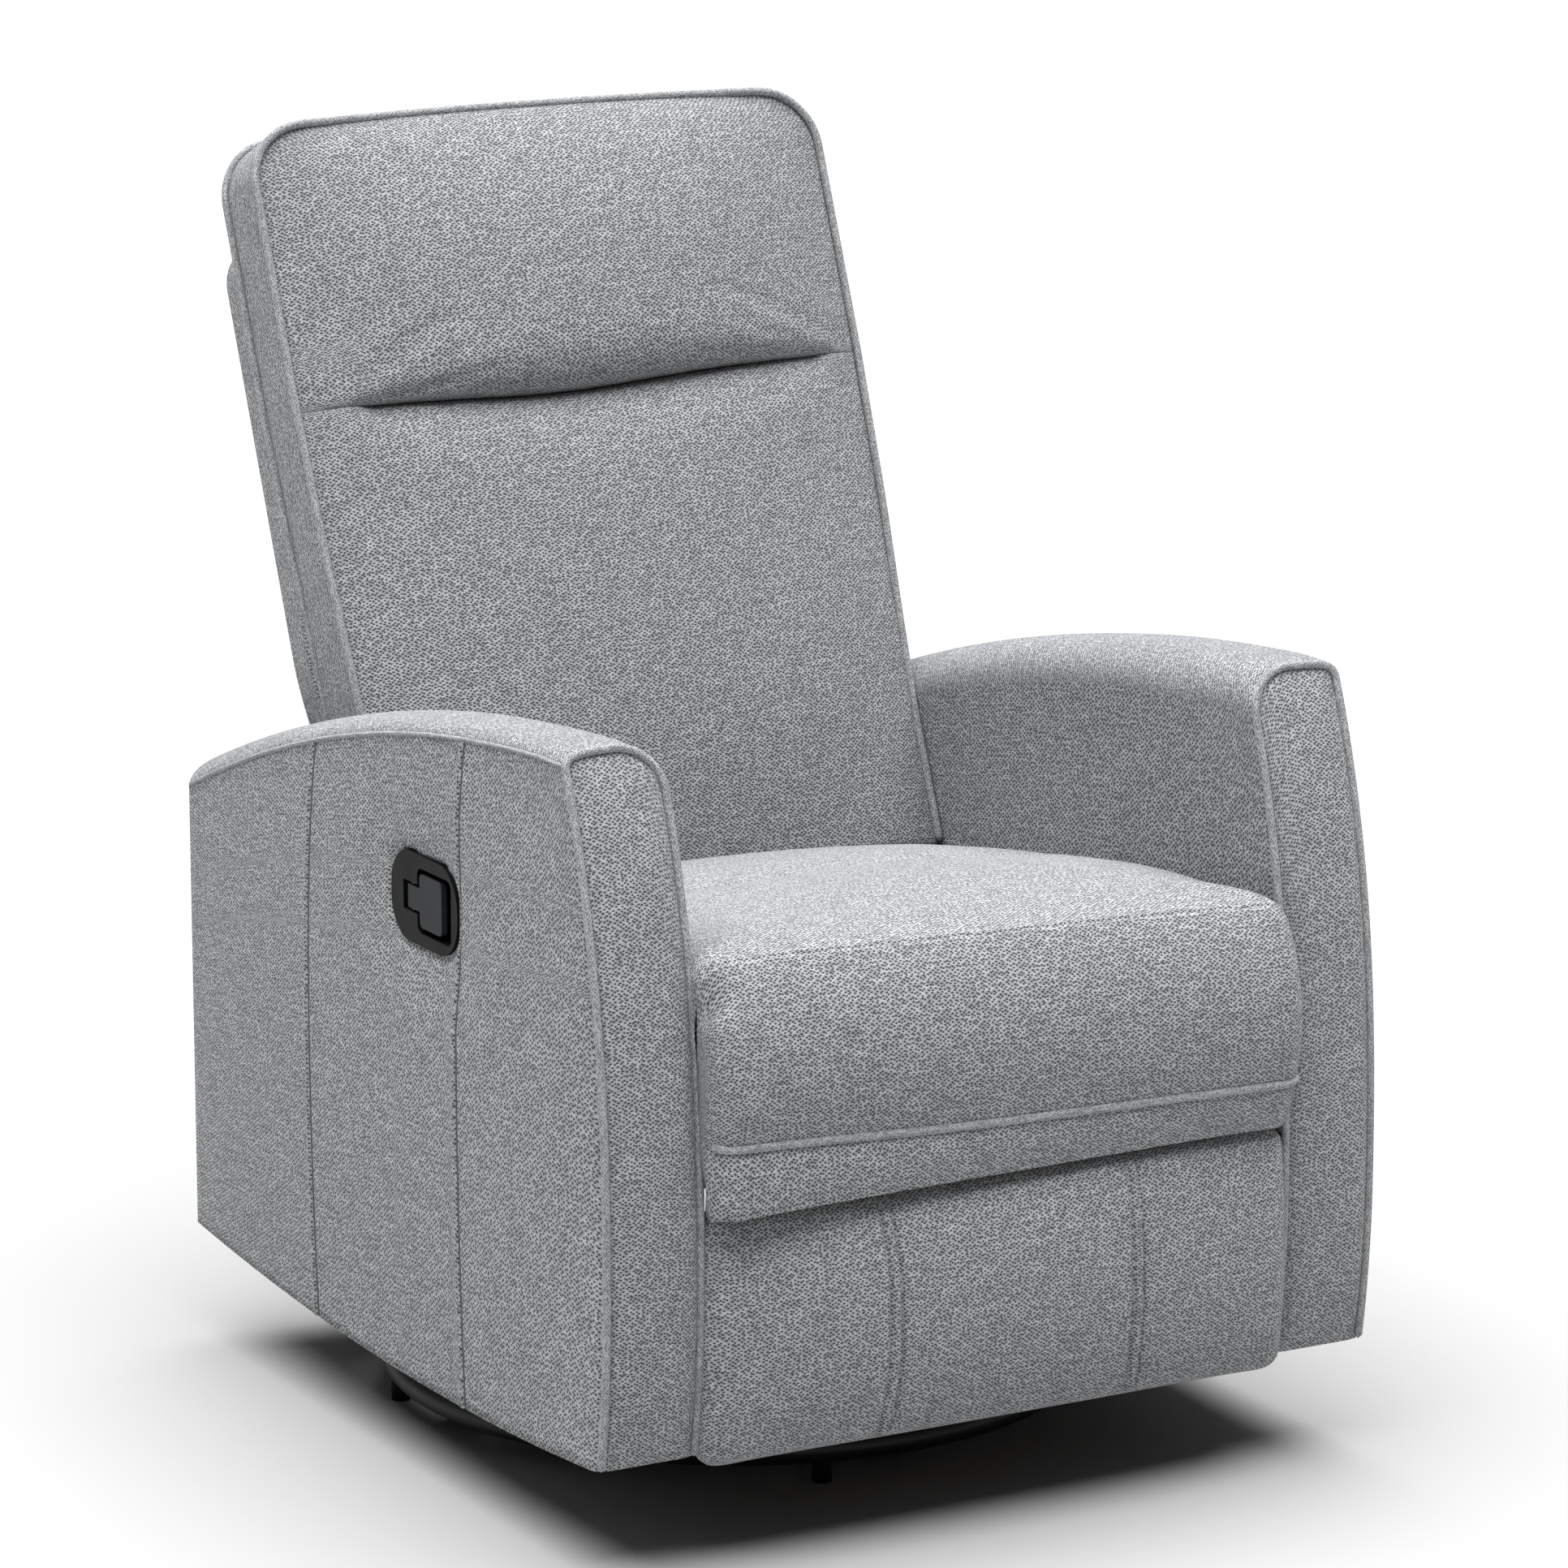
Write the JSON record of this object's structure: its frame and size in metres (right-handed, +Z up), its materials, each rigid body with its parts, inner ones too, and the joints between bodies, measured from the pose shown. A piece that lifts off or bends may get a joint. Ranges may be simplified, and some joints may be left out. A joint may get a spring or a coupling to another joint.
{
  "type": "swivel glider recliner",
  "caption": "Upholstered armchair with a reclining back, swing-out footrest and side release handle, gliding and swivelling on a round steel ring base.",
  "frame": {"origin": "on the floor below the middle of the chair, 27 mm in front of the swivel axis", "axes": "+Z up, the chair faces -Y, +X to the right as seen from the front"},
  "size_m": [0.7, 0.8972, 1.0427],
  "materials": {
    "grey_upholstery": "matte",
    "black_steel": "satin",
    "zinc_steel": "satin",
    "spring_steel": "satin",
    "hardwood": "matte",
    "elastic_webbing": "matte",
    "black_plastic": "matte",
    "cable_sheath": "matte",
    "foot_plastic": "matte"
  },
  "bodies": {
    "base": {"base_ring": "black_steel", "base_cross_bar": "black_steel", "base_half_bars": "black_steel", "base_feet": "foot_plastic", "swivel_lower_plate": "black_steel", "swivel_king_bolt": "zinc_steel"},
    "carriage": {"swivel_upper_plate": "black_steel", "swivel_balls": "zinc_steel", "carriage_bars": "black_steel", "carriage_upright_left": "black_steel", "carriage_upright_right": "black_steel", "glide_hanger_pins": "zinc_steel"},
    "rear_glide_links": {"glide_link_rear_left": "zinc_steel", "glide_link_rear_right": "zinc_steel"},
    "front_glide_links": {"glide_link_front_left": "zinc_steel", "glide_link_front_right": "zinc_steel"},
    "chair": {"mechanism_plate_left": "zinc_steel", "mechanism_plate_right": "zinc_steel", "mechanism_pins": "zinc_steel", "seat_side_rails": "hardwood", "seat_front_rail": "hardwood", "seat_rear_rail": "hardwood", "seat_springs": "spring_steel", "seat_cushion": "grey_upholstery", "seat_front_roll": "grey_upholstery", "arm_frame_left": "hardwood", "arm_frame_right": "hardwood", "arm_cover_left": "grey_upholstery", "arm_cover_right": "grey_upholstery", "arm_bolts": "zinc_steel", "rear_panel": "grey_upholstery", "release_cup": "black_plastic", "release_pin": "zinc_steel", "release_cable": "cable_sheath"},
    "release_paddle": {"release_paddle": "black_plastic"},
    "back": {"back_frame": "hardwood", "back_webbing": "elastic_webbing", "lumbar_cushion": "grey_upholstery", "head_cushion": "grey_upholstery", "outer_back": "grey_upholstery", "back_bracket_left": "zinc_steel", "back_bracket_right": "zinc_steel"},
    "footrest_swing": {"footrest_drive_tube": "zinc_steel", "footrest_swing_link_left": "zinc_steel", "footrest_swing_link_right": "zinc_steel", "footrest_swing_pins": "zinc_steel", "footrest_crank_pins": "zinc_steel"},
    "footrest_idler": {"footrest_idler_link_left": "zinc_steel", "footrest_idler_link_right": "zinc_steel", "footrest_idler_pins": "zinc_steel"},
    "footrest_carrier": {"footrest_carrier_left": "zinc_steel", "footrest_carrier_right": "zinc_steel", "footrest_hinge_pins": "zinc_steel"},
    "footrest_control": {"footrest_control_link_left": "zinc_steel", "footrest_control_link_right": "zinc_steel"},
    "footrest": {"footrest_bracket_left": "zinc_steel", "footrest_bracket_right": "zinc_steel", "footrest_control_pins": "zinc_steel", "footrest_board": "hardwood", "footrest_cushion": "grey_upholstery"}
  },
  "joints": [
    {"name": "swivel", "type": "hinge", "parent": "base", "child": "carriage", "pos_m": [0, 0.027, 0.04265], "axis": [0, 0, 1], "continuous": true},
    {"name": "glide", "type": "hinge", "parent": "carriage", "child": "rear_glide_links", "pos_m": [0, 0.11, 0.25], "axis": [1, 0, 0], "range_deg": [-20, 20]},
    {"name": "glide_level", "type": "hinge", "parent": "rear_glide_links", "child": "chair", "pos_m": [0, 0.11, 0.12], "axis": [1, 0, 0], "range_deg": [-20, 20]},
    {"name": "glide_front", "type": "hinge", "parent": "carriage", "child": "front_glide_links", "pos_m": [0, -0.11, 0.25], "axis": [1, 0, 0], "range_deg": [-20, 20]},
    {"name": "recline", "type": "hinge", "parent": "chair", "child": "back", "pos_m": [0, 0.205, 0.33], "axis": [-1, 0, 0], "range_deg": [0, 30]},
    {"name": "footrest", "type": "hinge", "parent": "chair", "child": "footrest_swing", "pos_m": [0, -0.176, 0.316], "axis": [-1, 0, 0], "range_deg": [0, 90]},
    {"name": "footrest_idler_turn", "type": "hinge", "parent": "chair", "child": "footrest_idler", "pos_m": [0, -0.12881, 0.29947], "axis": [-1, 0, 0], "range_deg": [0, 90]},
    {"name": "footrest_carrier_turn", "type": "hinge", "parent": "footrest_swing", "child": "footrest_carrier", "pos_m": [0, -0.13442, 0.12037], "axis": [-1, 0, 0], "range_deg": [-90, 0]},
    {"name": "footrest_control_turn", "type": "hinge", "parent": "footrest_swing", "child": "footrest_control", "pos_m": [0, -0.11834, 0.08374], "axis": [-1, 0, 0], "range_deg": [-90, 0]},
    {"name": "footrest_panel_turn", "type": "hinge", "parent": "footrest_carrier", "child": "footrest", "pos_m": [0, -0.36244, 0.20022], "axis": [-1, 0, 0], "range_deg": [0, 90]},
    {"name": "release", "type": "hinge", "parent": "chair", "child": "release_paddle", "pos_m": [-0.345, -0.072, 0.48], "axis": [0, 0, -1], "range_deg": [0, 40], "stiffness_Nm_per_rad": 0.6, "springref_deg": -5.73}
  ],
  "couplings": [
    {"joint": "glide_level", "follows": "glide", "ratio": -1},
    {"joint": "glide_front", "follows": "glide", "ratio": 1},
    {"joint": "footrest_idler_turn", "follows": "footrest", "ratio": 1},
    {"joint": "footrest_carrier_turn", "follows": "footrest", "ratio": -1},
    {"joint": "footrest_control_turn", "follows": "footrest", "ratio": -1},
    {"joint": "footrest_panel_turn", "follows": "footrest", "ratio": 1}
  ]
}
